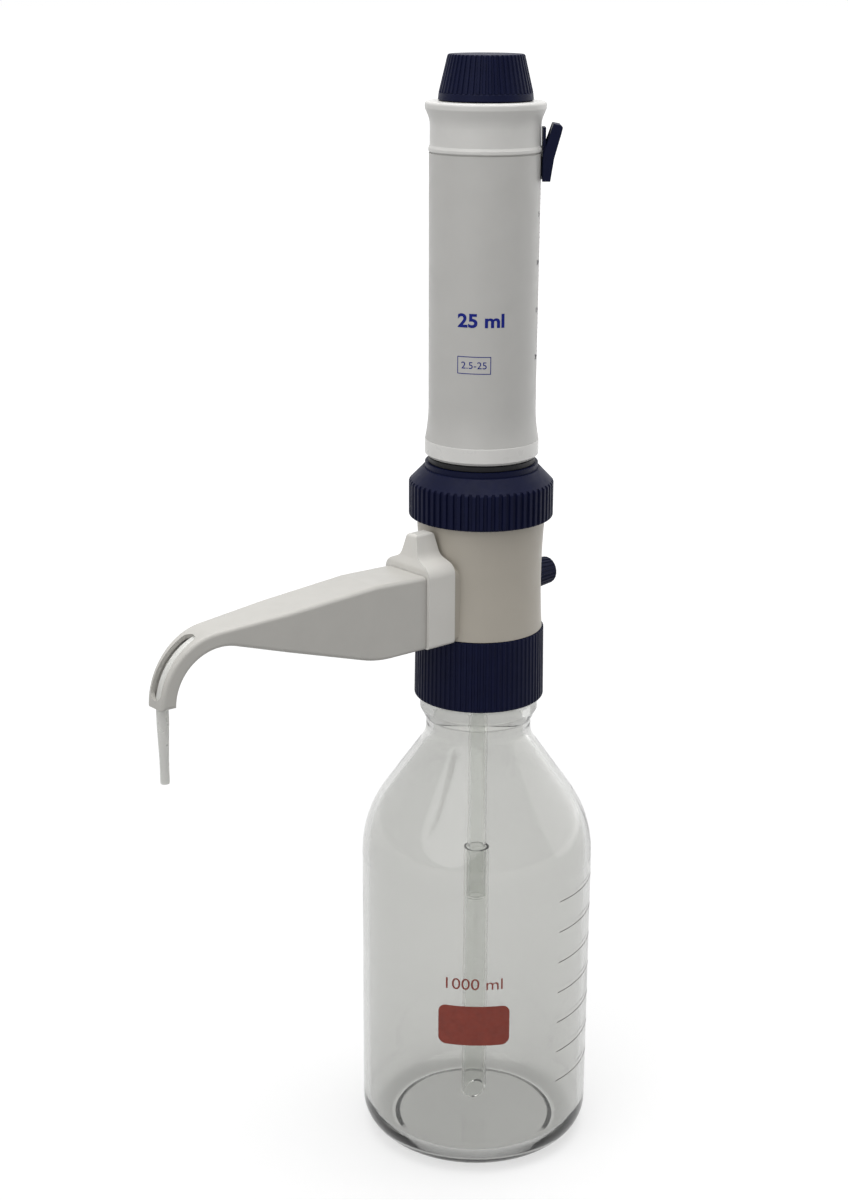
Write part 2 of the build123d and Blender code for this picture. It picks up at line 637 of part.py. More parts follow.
def outlet_flange():
    """The flange and its ear: one shape from the front, cut by its shape from the side."""
    low = BLOCK_Z + RUN_GAP / 2
    shoulder_z = BLOCK_Z + FLANGE_SHOULDER_RISE
    ear_foot_z = BLOCK_Z + EAR_FOOT_RISE
    top_z = BLOCK_Z + EAR_TOP_RISE
    mid_x = (FLANGE_BACK_X + FLANGE_FRONT_X) / 2
    front = make_face(Plane.YZ * outline(
        (-FLANGE_HALF_W, low, FLANGE_EDGE_R), (FLANGE_HALF_W, low, FLANGE_EDGE_R),
        (FLANGE_HALF_W, shoulder_z, FLANGE_SHOULDER_R), (EAR_FOOT_HALF_W, ear_foot_z, EAR_BLEND_R),
        (EAR_TOP_HALF_W, top_z, FLANGE_EDGE_R), (-EAR_TOP_HALF_W, top_z, FLANGE_EDGE_R),
        (-EAR_FOOT_HALF_W, ear_foot_z, EAR_BLEND_R), (-FLANGE_HALF_W, shoulder_z, FLANGE_SHOULDER_R)))
    side = make_face(Plane.XZ * outline(
        (-FLANGE_FRONT_X, low, 0), (-FLANGE_BACK_X, low, 0),
        (-FLANGE_BACK_X, shoulder_z, EAR_BLEND_R), (EAR_FOOT_T / 2 - mid_x, ear_foot_z, EAR_BLEND_R),
        (EAR_TOP_T / 2 - mid_x, top_z, FLANGE_EDGE_R), (-EAR_TOP_T / 2 - mid_x, top_z, FLANGE_EDGE_R),
        (-EAR_FOOT_T / 2 - mid_x, ear_foot_z, EAR_BLEND_R), (-FLANGE_FRONT_X, shoulder_z, EAR_BLEND_R)))
    flange = extrude(front, -FLANGE_FRONT_X) & extrude(side, FLANGE_HALF_W, both=True)
    bore = bar(OUTLET_SPIGOT_R + RUN_GAP, FLANGE_BACK_X - PAST, FLANGE_FRONT_X + PAST)
    return flange - forward(bore, SPOUT_Z)


def o_rings():
    """The O-rings on the spigot, which stand on Z here."""
    centre_r = OUTLET_SPIGOT_R + RUN_GAP - FIT_GAP - O_RING_WIRE_R
    first = OUTLET_NOSE_X + O_RING_INSET
    return [Pos(0, 0, first + O_RING_STEP * ring) * Torus(centre_r, O_RING_WIRE_R) for ring in range(2)]


def outlet_valve_body():
    stem_end_x = SHROUD_FRONT_X + OUTLET_STEM_L
    chamber_end_x = OUTLET_SEAT_X + OUTLET_CHAMBER_L
    body = bar(OUTLET_SPIGOT_R, OUTLET_NOSE_X, SHROUD_FRONT_X)
    body += bar(OUTLET_SPIGOT_R + OUTLET_LIP_W, OUTLET_LIP_X, OUTLET_SEAT_X)
    body += bar(OUTLET_STEM_R, SHROUD_FRONT_X, stem_end_x)
    body -= bar(OUTLET_BORE_R, OUTLET_NOSE_X - PAST, stem_end_x + PAST)
    body -= ball_seat(OUTLET_BORE_R, OUTLET_BALL_R + BALL_ROOM, OUTLET_SEAT_X, chamber_end_x)
    body -= bar(TUBE_R, SHROUD_FRONT_X, stem_end_x + PAST)
    for ring in o_rings():
        body -= ring
    return forward(body, SPOUT_Z)


def outlet_seals():
    return forward(Compound(o_rings()), SPOUT_Z)


def outlet_ball():
    return forward(Pos(0, 0, OUTLET_BALL_X) * Sphere(OUTLET_BALL_R), SPOUT_Z)


def outlet_spring():
    """The spring at the length that it has with the ball lifted."""
    cap_depth = math.sqrt(OUTLET_BALL_R ** 2 - (OUTLET_SPRING_R - SPRING_WIRE_R) ** 2)
    start_x = OUTLET_BALL_X + cap_depth + OUTLET_BALL_LIFT + RUN_GAP + SPRING_WIRE_R
    end_x = OUTLET_SEAT_X + OUTLET_CHAMBER_L - SPRING_WIRE_R
    wire = coil(OUTLET_SPRING_R, SPRING_WIRE_R, (end_x - start_x) / OUTLET_SPRING_TURNS, OUTLET_SPRING_TURNS)
    return forward(Pos(0, 0, start_x) * wire, SPOUT_Z)


def on_bend(radius, angle):
    """A point of the spout's bend in X and Z, at an angle in degrees up from level."""
    turn = math.radians(angle)
    return (-BEND_X - radius * math.cos(turn), BEND_Z + radius * math.sin(turn))


def shroud_side(inset):
    """The spout's upright profile in X and Z, moved in by a wall."""
    foot_z = BLOCK_Z + inset
    root_top_z = BLOCK_Z + SHROUD_TOP_RISE - inset
    crown_x = -SHROUD_BACK_X - SHROUD_CROWN_L
    outer_r = BEND_OUTER_R - inset
    inner_r = BEND_INNER_R + inset
    top_angle = 90 - TOP_SLOPE_ANGLE
    belly_angle = 90 + BELLY_ANGLE
    top_start = on_bend(outer_r, top_angle)
    belly_end = on_bend(inner_r, belly_angle)
    belly_run = (belly_end[1] - foot_z) / math.tan(math.radians(BELLY_ANGLE))
    crown_z = root_top_z + SHROUD_CROWN_H
    edges = Polyline((-SHROUD_BACK_X, foot_z), (-SHROUD_BACK_X, root_top_z), (crown_x, crown_z), top_start)
    edges += ThreePointArc(top_start, on_bend(outer_r, top_angle / 2), on_bend(outer_r, 0))
    edges += Line(on_bend(outer_r, 0), on_bend(inner_r, 0))
    edges += ThreePointArc(on_bend(inner_r, 0), on_bend(inner_r, belly_angle / 2), belly_end)
    edges += Polyline(belly_end, (belly_end[0] + belly_run, foot_z), (-SHROUD_BACK_X, foot_z))
    side = make_face(Plane.XZ * edges)
    belly_corner = side.vertices().sort_by_distance((belly_end[0] + belly_run, 0, foot_z))[0]
    return fillet(belly_corner, BELLY_R - inset)


def shroud_plan(inset):
    """The spout's outline seen from above, moved in by a wall."""
    tip_x = -BEND_X - BEND_OUTER_R - PAST
    waist_x = -SHROUD_BACK_X - SHROUD_WAIST_L
    root_w = SHROUD_ROOT_HALF_W - inset
    waist_w = SHROUD_WAIST_HALF_W - inset
    tip_w = SHROUD_TIP_HALF_W - inset
    bend_w = (waist_w + tip_w) / 2
    return make_face(outline(
        (-SHROUD_BACK_X, -root_w, 0), (-SHROUD_BACK_X, root_w, 0),
        (waist_x, waist_w, SHROUD_PLAN_BLEND_R), (-BEND_X, bend_w, SHROUD_PLAN_BLEND_R), (tip_x, tip_w, 0),
        (tip_x, -tip_w, 0), (-BEND_X, -bend_w, SHROUD_PLAN_BLEND_R),
        (waist_x, -waist_w, SHROUD_PLAN_BLEND_R)))


def shroud_column(inset):
    """The spout's plan, standing from below the spout to above it."""
    return extrude(Pos(0, 0, BLOCK_Z - PAST) * shroud_plan(inset), BLOCK_H)


def shroud_form(inset):
    return shroud_column(inset) & extrude(shroud_side(inset), SHROUD_ROOT_HALF_W + PAST, both=True)


def bend_slot():
    """The long round-ended opening in the outside of the bend."""
    low_r = BEND_OUTER_R - SHROUD_WALL - RUN_GAP
    high_r = BEND_OUTER_R + PAST
    band = turned((low_r, -SLOT_HALF_W), (high_r, -SLOT_HALF_W), (high_r, SLOT_HALF_W), (low_r, SLOT_HALF_W))
    reach = 2 * high_r
    angles = [SLOT_LOW_ANGLE, (SLOT_LOW_ANGLE + SLOT_HIGH_ANGLE) / 2, SLOT_HIGH_ANGLE]
    rim = [on_bend(reach, angle) for angle in angles]
    wedge = make_face(Plane.XZ * Polyline((-BEND_X, BEND_Z), *rim, close=True))
    slot = Pos(-BEND_X, 0, BEND_Z) * Rot(90, 0, 0) * band
    slot &= extrude(wedge, SLOT_HALF_W + PAST, both=True)
    for angle in (SLOT_LOW_ANGLE, SLOT_HIGH_ANGLE):
        slot += Pos(-BEND_X, 0, BEND_Z) * Rot(0, angle - 90, 0) * bar(SLOT_HALF_W, low_r, high_r)
    return slot


def spout_shroud():
    half_w = SHROUD_ROOT_HALF_W + PAST
    form = shroud_form(0)
    long_edges = [e for e in form.edges() if abs(e.center().Y) > 2 and e.bounding_box().size.X > 5]
    form = fillet(long_edges, SHROUD_EDGE_R)
    tip = box_between((-BEND_X - 2 * BEND_OUTER_R, -half_w, BEND_Z - PAST),
                      (-BEND_X, half_w, BEND_Z + SHROUD_WALL))
    root = box_between((-SHROUD_FRONT_X, -half_w, BLOCK_Z - PAST), (0, half_w, BLOCK_TOP_Z))
    belly_x = -SHROUD_BACK_X - SHROUD_OPENING_L
    belly = box_between((belly_x, -half_w, BLOCK_Z - PAST), (-SHROUD_FRONT_X, half_w, SPOUT_Z))
    form -= shroud_form(SHROUD_WALL) - tip - root
    form -= shroud_column(SHROUD_WALL) & belly
    form -= forward(bar(OUTLET_SPIGOT_R, SHROUD_BACK_X - PAST, SHROUD_FRONT_X + PAST), SPOUT_Z)
    form -= along_tube(TUBE_R + FIT_GAP, BEND_Z - PAST)
    return form - bend_slot()


def along_tube(radius, end_z):
    """A round bar along the discharge tube's line, from the valve to a height below the bend."""
    high_z = BEND_Z + TUBE_TURN_R
    level_x = -SHROUD_BACK_X - TUBE_LEVEL_L
    path = Plane.XZ * FilletPolyline(
        (-SHROUD_FRONT_X, SPOUT_Z), (level_x, SPOUT_Z), (-BEND_X + TUBE_HIGH_LEAD, high_z),
        (-TUBE_DOWN_X, high_z), (-TUBE_DOWN_X, end_z), radius=[TUBE_BEND_R, TUBE_BEND_R, TUBE_TURN_R])
    return sweep(Plane(path @ 0, z_dir=path % 0) * Circle(radius), path)


def discharge_tube():
    tip_edge_r = (NOZZLE_R - TUBE_BORE_R) / 2
    straight_z = NOZZLE_TIP_Z + NOZZLE_L
    taper_z = straight_z + NOZZLE_TAPER_L
    tube = along_tube(TUBE_R, taper_z)
    tube += Pos(-TUBE_DOWN_X, 0, 0) * turned((0, NOZZLE_TIP_Z), (NOZZLE_R, NOZZLE_TIP_Z, tip_edge_r),
                                             (NOZZLE_R, straight_z), (TUBE_R, taper_z), (0, taper_z))
    return tube - along_tube(TUBE_BORE_R, NOZZLE_TIP_Z)


def vent_cap():
    foot_x = VENT_BOSS_X + RUN_GAP
    end_x = foot_x + VENT_CAP_L
    cap = ribbed_bar(VENT_CAP_ROOT_R, VENT_CAP_END_R, VENT_RIB_DEPTH, VENT_RIBS, foot_x, end_x)
    cap &= turned((0, foot_x), (VENT_CAP_ROOT_R, foot_x),
                  (VENT_CAP_END_R, end_x, VENT_CAP_EDGE_R), (0, end_x))
    cap += bar(VENT_STEM_R, VENT_STEM_X, foot_x + PAST)
    cap -= bar(VENT_DUCT_R, VENT_STEM_X - PAST, end_x + PAST)
    cap -= pipe(VENT_STEM_R + VENT_SEAL_W, VENT_STEM_R, foot_x - PAST, foot_x + VENT_SEAL_T)
    return backward(cap, VENT_Z)


def vent_seal():
    foot_x = VENT_BOSS_X + RUN_GAP
    return backward(pipe(VENT_STEM_R + VENT_SEAL_W, VENT_STEM_R, foot_x, foot_x + VENT_SEAL_T), VENT_Z)


def retaining_ring():
    ribs = ribbed_bar(RING_R, RING_R, RING_RIB_DEPTH, RING_RIBS, RING_Z, RING_CONE_TOP_Z)
    ring = ribs & turned((0, RING_Z), (RING_R, RING_Z, RING_EDGE_R), (RING_R, RING_CONE_Z, RING_EDGE_R),
                         (RING_NECK_R + RING_LEDGE, RING_CONE_TOP_Z), (0, RING_CONE_TOP_Z))
    ring += bar(RING_NECK_R, RING_CONE_TOP_Z - PAST, RING_TOP_Z)
    ring -= bar(SPIGOT_R + RUN_GAP, RING_Z - PAST, GUARD_FOOT_TOP_Z + RUN_GAP)
    ring -= bar(GUIDE_R + RUN_GAP, GUARD_FOOT_TOP_Z, RING_TOP_Z)
    return ring - bar(BUSH_R + RUN_GAP, RING_LIP_TOP_Z, RING_TOP_Z + PAST)


def guide_bush():
    low = RING_LIP_TOP_Z + RUN_GAP
    return turned((GUIDE_R, low), (BUSH_R, low), (BUSH_R, BUSH_FLANGE_Z), (BUSH_FLANGE_R, BUSH_FLANGE_Z),
                  (BUSH_FLANGE_R, BUSH_TOP_Z, BUSH_EDGE_R), (GUIDE_R, BUSH_TOP_Z, BUSH_EDGE_R))


def glass_cylinder():
    return pipe(CYLINDER_R, CYLINDER_BORE_R, CYLINDER_Z, CYLINDER_TOP_Z)


def cylinder_seal():
    return pipe(CYLINDER_R, CYLINDER_BORE_R - CYLINDER_SEAL_LIP, CYLINDER_Z - CYLINDER_SEAL_T, CYLINDER_Z)


def cylinder_guard():
    inner_r = GUARD_R - GUARD_WALL
    return turned((inner_r, SPIGOT_TOP_Z), (GUARD_FOOT_R, SPIGOT_TOP_Z), (GUARD_FOOT_R, GUARD_FOOT_TOP_Z),
                  (GUARD_R, GUARD_FOOT_TOP_Z), (GUARD_R, GUARD_RIM_Z), (GUARD_RIM_R, GUARD_RIM_Z),
                  (GUARD_RIM_R, GUARD_TOP_Z), (inner_r, GUARD_TOP_Z))


def piston_ring_places():
    """Heights of the undersides of the piston's rings."""
    step = PISTON_L / (PISTON_RINGS + 1)
    return [PISTON_Z + step * (ring + 1) - PISTON_RING_H / 2 for ring in range(PISTON_RINGS)]


def piston():
    radius = CYLINDER_BORE_R - RUN_GAP
    head = turned((0, PISTON_Z), (radius, PISTON_Z, RUN_GAP),
                  (radius, PISTON_TOP_Z, RUN_GAP), (0, PISTON_TOP_Z))
    for z in piston_ring_places():
        head -= pipe(radius + PAST, radius - PISTON_GROOVE_DEPTH, z, z + PISTON_RING_H)
    return head - bar(ROD_TENON_R, PISTON_TOP_Z - ROD_TENON_L, PISTON_TOP_Z + PAST)


def piston_rings():
    inner_r = CYLINDER_BORE_R - RUN_GAP - PISTON_GROOVE_DEPTH
    outer_r = CYLINDER_BORE_R - FIT_GAP
    return Compound([pipe(outer_r, inner_r, z, z + PISTON_RING_H) for z in piston_ring_places()])


def piston_rod():
    flange_z = HEAD_DISC_Z - ROD_FLANGE_T
    tenon_z = PISTON_TOP_Z - ROD_TENON_L
    stud_top_z = HEAD_DISC_Z + ROD_STUD_L
    return turned((0, tenon_z), (ROD_TENON_R, tenon_z), (ROD_TENON_R, PISTON_TOP_Z), (ROD_R, PISTON_TOP_Z),
                  (ROD_R, flange_z), (ROD_FLANGE_R, flange_z), (ROD_FLANGE_R, HEAD_DISC_Z),
                  (ROD_STUD_R, HEAD_DISC_Z), (ROD_STUD_R, stud_top_z), (0, stud_top_z))


def sleeve_foot():
    edge_r = FOOT_CHAMFER / 3
    spigot_top_z = SLEEVE_Z + FOOT_SPIGOT_H
    return turned((GUIDE_R, FOOT_Z, edge_r), (FOOT_R - FOOT_CHAMFER, FOOT_Z, edge_r),
                  (FOOT_R, FOOT_Z + FOOT_CHAMFER, edge_r), (FOOT_R, SLEEVE_Z, edge_r),
                  (SLEEVE_BORE_R, SLEEVE_Z), (SLEEVE_BORE_R, spigot_top_z),
                  (SLEEVE_BORE_R - FOOT_SPIGOT_T, spigot_top_z), (GUIDE_R, SLEEVE_Z))


def sleeve():
    flare_top_z = SLEEVE_Z + SLEEVE_FLARE_H
    flare_mid = (SLEEVE_LOW_R + SLEEVE_FLARE_W / 4, SLEEVE_Z + SLEEVE_FLARE_H * 0.45)
    seam_z = SLEEVE_TOP_Z - SEAM_H
    seam_r = SLEEVE_TOP_R - SEAM_DEPTH
    flare = ThreePointArc((SLEEVE_FLARE_R, SLEEVE_Z), flare_mid, (SLEEVE_LOW_R, flare_top_z))
    rest = Polyline((SLEEVE_LOW_R, flare_top_z), (SLEEVE_TOP_R, seam_z), (seam_r, seam_z),
                    (seam_r, SLEEVE_TOP_Z), (SLEEVE_BORE_R, SLEEVE_TOP_Z), (SLEEVE_BORE_R, SLEEVE_Z),
                    (SLEEVE_FLARE_R, SLEEVE_Z))
    slot = box_between((GUARD_RIM_R, -SLOT_HALF_T, SLOT_Z), (FOOT_R + PAST, SLOT_HALF_T, SLOT_TOP_Z))
    return revolve(make_face(Plane.XZ * (flare + rest)), Axis.Z) - at_slider(slot)


def sleeve_head():
    lip_z = SLEEVE_TOP_Z + HEAD_LIP_H
    head = turned(
        (ROD_STUD_R, HEAD_TOP_Z), (HEAD_RIM_R, HEAD_TOP_Z, HEAD_RIM_EDGE_R),
        (HEAD_RIM_R, HEAD_TOP_Z - HEAD_RIM_H, HEAD_RIM_EDGE_R),
        (HEAD_WAIST_R, HEAD_TOP_Z - HEAD_FLARE_H, HEAD_FLARE_R),
        (HEAD_WAIST_R, lip_z + HEAD_LIP_SLOPE_H, HEAD_LIP_R), (HEAD_FOOT_R, lip_z, HEAD_LIP_R),
        (HEAD_FOOT_R, SLEEVE_TOP_Z, HEAD_LIP_R), (SLEEVE_BORE_R, SLEEVE_TOP_Z),
        (SLEEVE_BORE_R, HEAD_SPIGOT_Z), (HEAD_SPIGOT_R, HEAD_SPIGOT_Z),
        (HEAD_SPIGOT_R, HEAD_DISC_Z), (ROD_STUD_R, HEAD_DISC_Z))
    notch = box_between((GUARD_R, -HEAD_NOTCH_HALF_W, HEAD_SPIGOT_Z - PAST),
                        (HEAD_FOOT_R, HEAD_NOTCH_HALF_W, SLEEVE_TOP_Z))
    return head - at_slider(notch)


def knob_nut():
    nut = pipe(NUT_R, ROD_STUD_R, HEAD_TOP_Z, HEAD_TOP_Z + NUT_H)
    notch = box_between((NUT_R - NUT_NOTCH_DEPTH, -NUT_NOTCH_HALF_W, HEAD_TOP_Z + NUT_H / 2),
                        (NUT_R + PAST, NUT_NOTCH_HALF_W, HEAD_TOP_Z + NUT_H + PAST))
    for side in range(NUT_NOTCHES):
        nut -= Rot(0, 0, 360 / NUT_NOTCHES * side) * notch
    return nut


def top_knob():
    low = HEAD_TOP_Z + RUN_GAP
    band_z = low + KNOB_BAND_H
    top_z = low + KNOB_H
    knob = ribbed_bar(KNOB_RIB_FOOT_R, KNOB_TOP_R, KNOB_RIB_DEPTH, KNOB_RIBS, band_z, top_z)
    knob &= turned((0, band_z), (KNOB_RIB_FOOT_R, band_z), (KNOB_TOP_R, top_z, KNOB_EDGE), (0, top_z))
    knob += turned((0, low), (KNOB_R, low, KNOB_EDGE / 2),
                   (KNOB_RIB_FOOT_R, band_z, KNOB_EDGE / 2), (0, band_z))
    knob -= bar(NUT_R + RUN_GAP, low - PAST, HEAD_TOP_Z + NUT_H + RUN_GAP)
    return knob - bar(ROD_STUD_R + RUN_GAP, low, HEAD_DISC_Z + ROD_STUD_L + RUN_GAP)


def volume_rack():
    """The toothed strip behind the slot, its teeth outwards and within the slot."""
    low = SLIDER_Z - SLIDER_TRAVEL
    high = WEB_TOP_Z
    back_y = -SLOT_HALF_T - RACK_SEAT_W
    front_y = -SLOT_HALF_T + TOOTH_W
    pitch = SCALE_STEP / TEETH_PER_STEP
    tip_r = SLEEVE_BORE_R - FIT_GAP
    strip = box_between((RACK_IN_R, back_y, low), (SLEEVE_BORE_R, front_y, high))
    strip &= bar(SLEEVE_BORE_R, low, high)
    for tooth in range(int((high - low) / pitch)):
        foot_z = low + pitch * tooth + TOOTH_FLAT
        top_z = foot_z + pitch - TOOTH_FLAT
        gap = Polyline((tip_r - TOOTH_DEPTH, foot_z), (tip_r + PAST, foot_z),
                       (tip_r + PAST, top_z), close=True)
        strip -= Pos(0, front_y + PAST, 0) * extrude(make_face(Plane.XZ * gap), TOOTH_W + PAST)
    return at_slider(strip)


def web_side_y():
    """The side of the slider's web that faces the teeth."""
    return SLOT_HALF_T - RUN_GAP - WEB_T


def slider_carriage():
    """The plate outside the sleeve, its web through the slot, the shoe inside and the lug for the lever."""
    side_y = web_side_y()
    pawl_y = side_y - PAWL_WEB_GAP
    window_z = SLIDER_Z + PAWL_RISE - PAWL_ROOM
    window_top_z = SLIDER_Z + PAWL_RISE + PAWL_H + PAWL_ROOM
    plate = box_between((GUARD_R, -PLATE_HALF_W, SLIDER_Z), (PLATE_OUT_R, PLATE_HALF_W, SLIDER_TOP_Z))
    plate -= bar(PLATE_IN_R, SLIDER_Z - PAST, SLIDER_TOP_Z + PAST)
    plate -= box_between((GUARD_R, pawl_y - PAWL_W - RUN_GAP, window_z),
                         (PLATE_OUT_R + PAST, pawl_y + RUN_GAP, window_top_z))
    mid_plate_r = PLATE_OUT_R - PLATE_T / 2
    web = box_between((RACK_IN_R, side_y, WEB_Z), (mid_plate_r, side_y + WEB_T, WEB_TOP_Z))
    shoe = box_between((RACK_IN_R, side_y, WEB_Z), (SLEEVE_BORE_R, side_y + SHOE_W, WEB_TOP_Z))
    shoe &= bar(SLEEVE_BORE_R - RUN_GAP, WEB_Z, WEB_TOP_Z)
    lug = Pos(PIVOT_X, 0, PIVOT_Z) * cross_bar(LUG_R, -LUG_HALF_T, LUG_HALF_T)
    lug += box_between((mid_plate_r, -LUG_HALF_T, PIVOT_Z - LUG_R), (PIVOT_X, LUG_HALF_T, PIVOT_Z + LUG_R))
    carriage = plate + web + shoe + lug
    return at_slider(carriage - Pos(PIVOT_X, 0, PIVOT_Z) * cross_bar(PIN_R, -PLATE_HALF_W, PLATE_HALF_W))


def lever_pin():
    """The pin through the lug. One cheek covers its end."""
    return at_slider(Pos(PIVOT_X, 0, PIVOT_Z) * cross_bar(PIN_R, -CHEEK_Y, LEVER_HALF_W - PIN_INSET))


def coil_length():
    return (2 * COIL_WIRE_R + COIL_GAP) * COIL_TURNS


def lever_spring():
    start_y = LUG_HALF_T + LUG_ROOM + COIL_WIRE_R
    wire = coil(COIL_R, COIL_WIRE_R, coil_length() / COIL_TURNS, COIL_TURNS)
    return at_slider(Pos(PIVOT_X, start_y, PIVOT_Z) * Rot(-90, 0, 0) * wire)


def lever_top():
    """Where the lever's inner face ends at its top, leaning out so that the lever can be pressed in."""
    top = SLIDER_TOP_Z + LEVER_TOP_RISE
    lean = math.tan(math.radians(LEVER_ANGLE + LEVER_SPARE_ANGLE))
    return LEVER_IN_X + (top - PIVOT_Z) * lean, top


def lever_profile():
    """The lever from the side, with its cheeks, whose edges lean out above the pin."""
    low = SLIDER_Z - LEVER_FOOT_DROP
    inner_top_x, top = lever_top()
    nose_x = LEVER_IN_X + LEVER_NOSE_OUT
    nose_z = top - LEVER_NOSE_DROP
    edge_r = LEVER_EDGE_R / 2
    return make_face(Plane.XZ * outline(
        (CHEEK_IN_X, low, edge_r),
        (LEVER_IN_X + LEVER_FOOT_T, low, edge_r),
        (LEVER_IN_X + LEVER_WAIST_T, PIVOT_Z - LEVER_WAIST_DROP, LEVER_WAIST_R),
        (nose_x - LEVER_EDGE_R, nose_z - LEVER_NOSE_H, LEVER_NOSE_R),
        (nose_x, nose_z, LEVER_NOSE_R),
        (inner_top_x + LEVER_TOP_W, top - LEVER_EDGE_R, edge_r),
        (inner_top_x, top, edge_r),
        (CHEEK_IN_X, PIVOT_Z, 0)))


def slider_lever():
    """A channel: a finger plate with a cheek on each side of the carriage's plate."""
    room_r = LUG_R + LUG_ROOM
    room_low = -LUG_HALF_T - LUG_ROOM
    room_high = LUG_HALF_T + coil_length() + 2 * COIL_WIRE_R + 3 * LUG_ROOM
    pawl_y = web_side_y() - PAWL_WEB_GAP
    pawl_z = SLIDER_Z + PAWL_RISE
    inner_top_x, top = lever_top()
    channel_low = SLIDER_Z - LEVER_FOOT_DROP - PAST
    channel = make_face(Plane.XZ * Polyline(
        (GUARD_R, channel_low), (LEVER_IN_X, channel_low), (LEVER_IN_X, PIVOT_Z),
        (inner_top_x, top), (inner_top_x, top + PAST), (GUARD_R, top + PAST), close=True))
    lever = extrude(lever_profile(), LEVER_HALF_W, both=True)
    side_edges = [e for e in lever.edges() if abs(e.center().Y) > LEVER_HALF_W - FIT_GAP
                  and e.center().X > LEVER_IN_X + LEVER_FOOT_T]
    lever = fillet(side_edges, LEVER_EDGE_R)
    lever -= extrude(channel, CHEEK_Y, both=True)
    lever -= Pos(PIVOT_X, 0, PIVOT_Z) * cross_bar(room_r, room_low, room_high)
    lever -= box_between((PLATE_IN_R, room_low, PIVOT_Z - room_r - LUG_ROOM),
                         (PIVOT_X, room_high, PIVOT_Z + room_r + LUG_ROOM))
    lever -= Pos(PIVOT_X, 0, PIVOT_Z) * cross_bar(PIN_R + FIT_GAP, -CHEEK_Y - FIT_GAP, LEVER_HALF_W + PAST)
    lever += box_between((SLEEVE_BORE_R + RUN_GAP, pawl_y - PAWL_W, pawl_z),
                         (LEVER_IN_X + LEVER_FOOT_T / 2, pawl_y, pawl_z + PAWL_H))
    return at_slider(lever)


NODES = {
    "bottle": bottle,
    "mouth_seal": mouth_seal,
    "thread_collar": thread_collar,
    "collar_retainer": collar_retainer,
    "valve_block": valve_block,
    "suction_valve_body": suction_valve_body,
    "suction_ball": suction_ball,
    "filling_tube_upper": filling_tube_upper,
    "filling_tube_lower": filling_tube_lower,
    "outlet_flange": outlet_flange,
    "outlet_valve_body": outlet_valve_body,
    "outlet_seals": outlet_seals,
    "outlet_ball": outlet_ball,
    "outlet_spring": outlet_spring,
    "spout_shroud": spout_shroud,
    "discharge_tube": discharge_tube,
    "vent_cap": vent_cap,
    "vent_seal": vent_seal,
    "retaining_ring": retaining_ring,
    "guide_bush": guide_bush,
    "glass_cylinder": glass_cylinder,
    "cylinder_seal": cylinder_seal,
    "cylinder_guard": cylinder_guard,
    "piston": piston,
    "piston_rings": piston_rings,
    "piston_rod": piston_rod,
    "sleeve_foot": sleeve_foot,
    "sleeve": sleeve,
    "sleeve_head": sleeve_head,
    "knob_nut": knob_nut,
    "top_knob": top_knob,
    "volume_rack": volume_rack,
    "slider_carriage": slider_carriage,
    "lever_pin": lever_pin,
    "lever_spring": lever_spring,
    "slider_lever": slider_lever,
}

os.makedirs("parts", exist_ok=True)
for name, make in NODES.items():
    export_step(make(), f"parts/{name}.step")
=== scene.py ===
"""Looks of a bottle-top dispenser on its glass bottle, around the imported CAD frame. Metres, +Z up."""
import math

import bmesh
import bpy
from mathutils import Matrix, Vector


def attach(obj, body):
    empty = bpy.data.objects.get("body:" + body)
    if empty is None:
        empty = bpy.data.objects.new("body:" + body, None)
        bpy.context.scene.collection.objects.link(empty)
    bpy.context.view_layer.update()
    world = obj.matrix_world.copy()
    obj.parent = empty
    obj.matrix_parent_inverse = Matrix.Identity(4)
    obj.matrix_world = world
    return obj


MM = 0.001

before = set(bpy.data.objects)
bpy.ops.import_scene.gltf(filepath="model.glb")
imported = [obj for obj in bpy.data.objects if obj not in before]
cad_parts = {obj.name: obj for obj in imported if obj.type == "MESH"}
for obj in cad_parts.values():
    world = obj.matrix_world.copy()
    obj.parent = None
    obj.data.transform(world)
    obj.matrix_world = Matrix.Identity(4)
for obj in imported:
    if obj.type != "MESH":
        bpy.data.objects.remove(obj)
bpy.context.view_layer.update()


# Camera, light and floor
PHOTO_HEIGHT_PX = 1200
FOCAL_PX = 2000
SENSOR_WIDTH = 36.0
CAMERA_PLACE = (-0.5506, -0.5973, 0.501)
CAMERA_TURN = math.radians(-41.0)
CAMERA_PITCH = math.radians(17.31)
CAMERA_ROLL = math.radians(0.21)
CLIP_NEAR = 0.01
CLIP_FAR = 100.0

LAMPS = {
    "overhead": dict(place=(0.0, 0.0, 1.4), target=(0.0, 0.0, 0.25), size=1.3, power=13.0),
    "key": dict(place=(-1.1, -0.35, 1.0), target=(0.0, 0.0, 0.3), size=1.8, power=7.6),
    "fill": dict(place=(1.15, -0.4, 0.5), target=(0.0, 0.0, 0.3), size=1.7, power=4.5),
}

WHITE = (1.0, 1.0, 1.0, 1.0)
AMBIENT = 0.37
FLOOR_SIZE = 60.0
FLOOR_COLOUR = (0.43, 0.43, 0.43, 1.0)
FLOOR_LIFT = 0.58
LIFT_NEAR = 0.35
LIFT_FAR = 1.6


